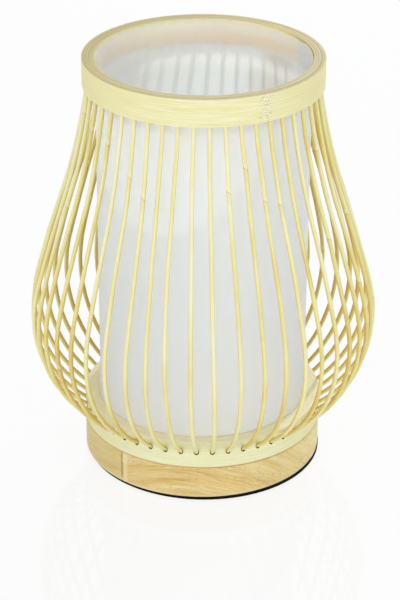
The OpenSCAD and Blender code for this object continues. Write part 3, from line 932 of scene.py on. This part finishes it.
def rib_mesh(index, splint):
    """Points, their marks and faces of one splint. A point's marks are its distance along, its direction
    outwards and sideways, the rib's tone, and the distance from the knot."""
    bearing = math.radians(FIRST_RIB - 90 + index * 360 / RIB_COUNT)
    turn = Matrix.Rotation(bearing, 3, "Z")
    tilt = Matrix.Rotation(RIB_SKEW, 3, "X")
    belly = Vector((0, 0, BELLY[1]))
    verts, marks = [], []
    for s, radius, height, lean in RIB_LINE:
        out, side = splint.strays(s)
        thick = splint.thickness(s)
        outward = Vector((math.cos(lean), 0, math.sin(lean)))
        middle = Vector((radius + out * math.cos(lean), side, height + out * math.sin(lean)))
        for k in range(RIB_SIDES):
            a = 2 * math.pi * k / RIB_SIDES
            round_off = outward * (thick * math.cos(a)) + Vector((0, thick * math.sin(a), 0))
            verts.append(turn @ (belly + tilt @ (middle + round_off - belly)))
            marks.append((s, math.cos(a), math.sin(a), splint.tone, s - splint.knot_at))
    faces = []
    rows = len(RIB_LINE)
    for row in range(rows - 1):
        for k in range(RIB_SIDES):
            a, b = row * RIB_SIDES + k, row * RIB_SIDES + (k + 1) % RIB_SIDES
            faces.append((a, b, b + RIB_SIDES, a + RIB_SIDES))
    faces.append(tuple(reversed(range(RIB_SIDES))))
    faces.append(tuple(range((rows - 1) * RIB_SIDES, rows * RIB_SIDES)))
    return verts, marks, faces


def make_ribs():
    draw = random.Random(RIB_SEED)
    per_group = RIB_COUNT // RIB_GROUPS
    for group in range(RIB_GROUPS):
        verts, marks, faces = [], [], []
        for index in range(group * per_group, (group + 1) * per_group):
            rib_verts, rib_marks, rib_faces = rib_mesh(index, Splint(index, draw))
            faces += [tuple(i + len(verts) for i in face) for face in rib_faces]
            verts += rib_verts
            marks += [(*mark, index * GRAIN_SEED_STEP) for mark in rib_marks]
        number = f"{group + 1:02d}"
        obj = mesh_piece(f"rib_trio_{number}", verts, faces, "rib_bamboo", f"ribs_{number}")
        grain = obj.data.attributes.new("grain", "FLOAT_VECTOR", "POINT")
        grain.data.foreach_set("vector", [c for mark in marks for c in mark[:3]])
        for name, column in (("tone", 3), ("knot", 4), ("seed", 5)):
            values = obj.data.attributes.new(name, "FLOAT", "POINT")
            values.data.foreach_set("value", [mark[column] for mark in marks])


# Film: one sheet wrapped once round, with its end lapped inside and its top edge a little low behind

FILM_T = 0.3
LAP_GAP = 0.05
# Degrees over which the outer end steps out over the inner one
LAP_BEND = 7.0
# Gap between the sheet and the foot
FILM_LIFT = 0.02
# How far the sheet leans out against the hoop and the ring, over what length, and the heights between which
# it stands straight
PRESS = 0.24
PRESS_FADE = 20.0
STRAIGHT_FROM = 60.0
STRAIGHT_TO = 215.0
# How far it swells over the hoop's rounded inner edge, how soon that fades, and the gap that it keeps inside
FOOT_FLARE = 0.8
FLARE_FADE = 1.3
FLARE_GAP = 0.03
FILM_CLEARANCE = 0.3
HOOP_IN = FILM_RADIUS + FILM_CLEARANCE
HOOP_ROUND = 1.5
# How far the upper edge sinks behind and at the inner end's corner, and where, in degrees from the inner end
TOP_SINK = 1.6
TOP_SINK_FROM = 285
TOP_SINK_OVER = 68
CORNER_SINK = 1.5
CORNER_SINK_OVER = 10
# The sheet's points: steps round it, heights over the hoop's edge near the foot, and rows above these
FILM_STEPS = 372
FOOT_RISES = (-4.0, -1.5, *(-1.2 + 0.2 * k for k in range(15)), 2.0, 2.5, 3.0, 5.0, 8.0, 12.0)
FILM_ROWS = 36
SHARP_EDGE = math.radians(40)


def film_top(gone):
    """The sheet's upper edge, at so many degrees from its inner end."""
    last = clamped((gone - TOP_SINK_FROM) / TOP_SINK_OVER)
    corner = max(0.0, 1 - (gone / CORNER_SINK_OVER) ** 2)
    return FILM_TOP - TOP_SINK * last * last - CORNER_SINK * corner


def film_heights(gone):
    """Heights of the sheet's points, close together where it swells over the hoop's edge."""
    heights = [FILM_BOTTOM + FILM_LIFT, *(HOOP_TOP + rise for rise in FOOT_RISES)]
    start = heights[-1]
    return heights + [start + (film_top(gone) - start) * (k + 1) / FILM_ROWS for k in range(FILM_ROWS)]


def foot_flare(z):
    """How far the sheet swells over the hoop's rounded inner edge, and below it as far as there is room."""
    if z >= HOOP_TOP:
        return FOOT_FLARE * math.exp(-(((z - HOOP_TOP) / FLARE_FADE) ** 2))
    rise = max(0.0, z - HOOP_TOP + HOOP_ROUND)
    edge = HOOP_IN + HOOP_ROUND - math.sqrt(HOOP_ROUND**2 - rise**2)
    return max(0.0, min(FOOT_FLARE, edge - FLARE_GAP - FILM_RADIUS - PRESS))


def film_swell(z):
    """How far the sheet lies outside its own radius."""
    pressed = max(clamped((STRAIGHT_FROM - z) / PRESS_FADE), clamped((z - STRAIGHT_TO) / PRESS_FADE))
    return PRESS * pressed + foot_flare(z)


def make_film():
    """Walks the sheet from its inner end at LAP_TO, down in bearing, once round to its outer end."""
    lap = LAP_TO - LAP_FROM
    verts, faces = [], []
    for i in range(FILM_STEPS + 1):
        gone = (360 + lap) * i / FILM_STEPS
        bearing = math.radians(LAP_TO - gone)
        outer = eased(clamped((gone - lap) / LAP_BEND))
        out = FILM_RADIUS - (1 - outer) * (FILM_T + LAP_GAP)
        heights = film_heights(gone)
        for z in heights:
            swollen = out + film_swell(z)
            for r in (swollen, swollen - FILM_T):
                verts.append((r * math.sin(bearing), -r * math.cos(bearing), z))
    levels = len(heights) - 1
    row = 2 * (levels + 1)
    for i in range(FILM_STEPS):
        for level in range(levels):
            a = i * row + 2 * level
            faces.append((a, a + 2, a + row + 2, a + row))
            faces.append((a + 1, a + row + 1, a + row + 3, a + 3))
        a, b = i * row, i * row + 2 * levels
        faces.append((a, a + row, a + row + 1, a + 1))
        faces.append((b, b + 1, b + row + 1, b + row))
    for i, flip in ((0, False), (FILM_STEPS, True)):
        for level in range(levels):
            a = i * row + 2 * level
            face = (a, a + 1, a + 3, a + 2)
            faces.append(tuple(reversed(face)) if flip else face)
    film = mesh_piece("film_sheet", verts, faces, "diffuser_film", "diffuser_film")
    sharp = film.modifiers.new("edges", "EDGE_SPLIT")
    sharp.split_angle = SHARP_EDGE


# Pad: glued on a little off centre, so that it shows more in front on the right

PAD_INSET = 0.05
PAD_RADIUS = outer_radius("base_pad") - PAD_INSET
PAD_SHIFT = (0.95, -0.95)
PAD_ROUND = 0.4
PAD_ROUND_STEPS = 4
PAD_SIDES = 180


def make_pad():
    outline = []
    for k in range(PAD_ROUND_STEPS + 1):
        a = math.radians(90 * k / PAD_ROUND_STEPS)
        outline.append((PAD_RADIUS - PAD_ROUND * (1 - math.sin(a)), PAD_ROUND * (1 - math.cos(a))))
    outline += [(r, PAD_TOP - z) for r, z in reversed(outline)]
    verts, faces = [], []
    for k in range(PAD_SIDES):
        a = 2 * math.pi * k / PAD_SIDES
        verts += [(PAD_SHIFT[0] + r * math.cos(a), PAD_SHIFT[1] + r * math.sin(a), z) for r, z in outline]
    rows = len(outline)
    for k in range(PAD_SIDES):
        a, b = k * rows, (k + 1) % PAD_SIDES * rows
        faces += [(a + i, b + i, b + i + 1, a + i + 1) for i in range(rows - 1)]
    faces.append(tuple(k * rows for k in reversed(range(PAD_SIDES))))
    faces.append(tuple(k * rows + rows - 1 for k in range(PAD_SIDES)))
    mesh_piece("rubber_pad", verts, faces, "pad_rubber", "base_pad")


# Floor, light and air

FLOOR_HALF = 12.0
# The floor lies a hair below the pad
FLOOR_DROP = 0.05 * MM
FLOOR_GREY = (0.86, 0.86, 0.86, 1)
# Shares of the white glow and of the reflection where the floor is seen, and the reflection's roughness
GLOW_SHARE = 0.92
GLOSS_SHARE = 0.05
GLOSS_ROUGHNESS = 0.04
WHITE = (1, 1, 1, 1)
AIR_STRENGTH = 0.64
AIR_COLOUR = (0.958, 0.983, 1.0, 1.0)
LAMP_COLOUR = (0.95, 0.982, 1.0)
LAMP_AIM = Vector((0, 0, 120)) * MM
# Name, bearing, elevation, distance, width and height, and level
LAMPS = (
    ("key", -28, 12, 2.2, (2.4, 1.0), 0.295),
    ("fill", 42, 7, 2.4, (2.4, 0.5), 0.19),
    ("rear", 153, 36.5, 2.6, (0.05, 0.05), 0.285),
)


def seen_share(n):
    """1 for rays from the camera, a mirror or glass, and 0 for rays that carry light."""
    rays = n.new("ShaderNodeLightPath").outputs
    share = n.plus(rays["Is Camera Ray"], rays["Is Glossy Ray"])
    return n.math("ADD", share, rays["Is Transmission Ray"], clamp=True)


def make_floor():
    """A pale floor with the lamp's shadow and a faint reflection. Where it is seen it is nearly white."""
    mesh = bpy.data.meshes.new("floor")
    sides = ((-1, -1), (1, -1), (1, 1), (-1, 1))
    corners = [(x * FLOOR_HALF, y * FLOOR_HALF, -FLOOR_DROP) for x, y in sides]
    mesh.from_pydata(corners, [], [(0, 1, 2, 3)])
    floor = bpy.data.objects.new("floor", mesh)
    bpy.context.scene.collection.objects.link(floor)
    n = new_material("floor")
    grey = n.new("ShaderNodeBsdfDiffuse", {"Color": FLOOR_GREY}).outputs[0]
    glow = n.new("ShaderNodeEmission", {"Color": WHITE, "Strength": 1.0}).outputs[0]
    gloss = n.new("ShaderNodeBsdfGlossy", {"Color": WHITE, "Roughness": GLOSS_ROUGHNESS}).outputs[0]
    base = n.blend(n.times(seen_share(n), GLOW_SHARE), grey, glow)
    mesh.materials.append(n.finish(n.blend(GLOSS_SHARE, base, gloss)))


def make_air():
    """Even light from all sides, and a white backdrop where it is seen."""
    world = bpy.data.worlds.new("air")
    bpy.context.scene.world = world
    n = Nodes(world)
    light = n.new("ShaderNodeBackground", {"Color": AIR_COLOUR, "Strength": AIR_STRENGTH}).outputs[0]
    white = n.new("ShaderNodeBackground", {"Color": WHITE, "Strength": 1.0}).outputs[0]
    n.new("ShaderNodeOutputWorld", {0: n.blend(seen_share(n), light, white)})


def make_lamp(name, bearing, elevation, distance, size, level):
    """An area lamp aimed at the object. level is what it adds to a white surface that faces it."""
    light = bpy.data.lights.new(name, "AREA")
    light.color = LAMP_COLOUR
    light.shape = "RECTANGLE"
    light.size, light.size_y = size
    light.energy = level * math.pi * math.pi * distance**2
    obj = bpy.data.objects.new(name, light)
    bpy.context.scene.collection.objects.link(obj)
    turn, rise = math.radians(bearing), math.radians(elevation)
    way = Vector((math.sin(turn) * math.cos(rise), -math.cos(turn) * math.cos(rise), math.sin(rise)))
    obj.location = LAMP_AIM + way * distance
    obj.rotation_euler = way.to_track_quat("Z", "Y").to_euler()


# The scene

make_camera()
bpy.context.scene.view_settings.view_transform = "Standard"
for node_name, material_name in NODE_MATERIALS.items():
    paint(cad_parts[node_name], material_name)
make_ribs()
make_film()
make_pad()
make_floor()
make_air()
for lamp in LAMPS:
    make_lamp(*lamp)
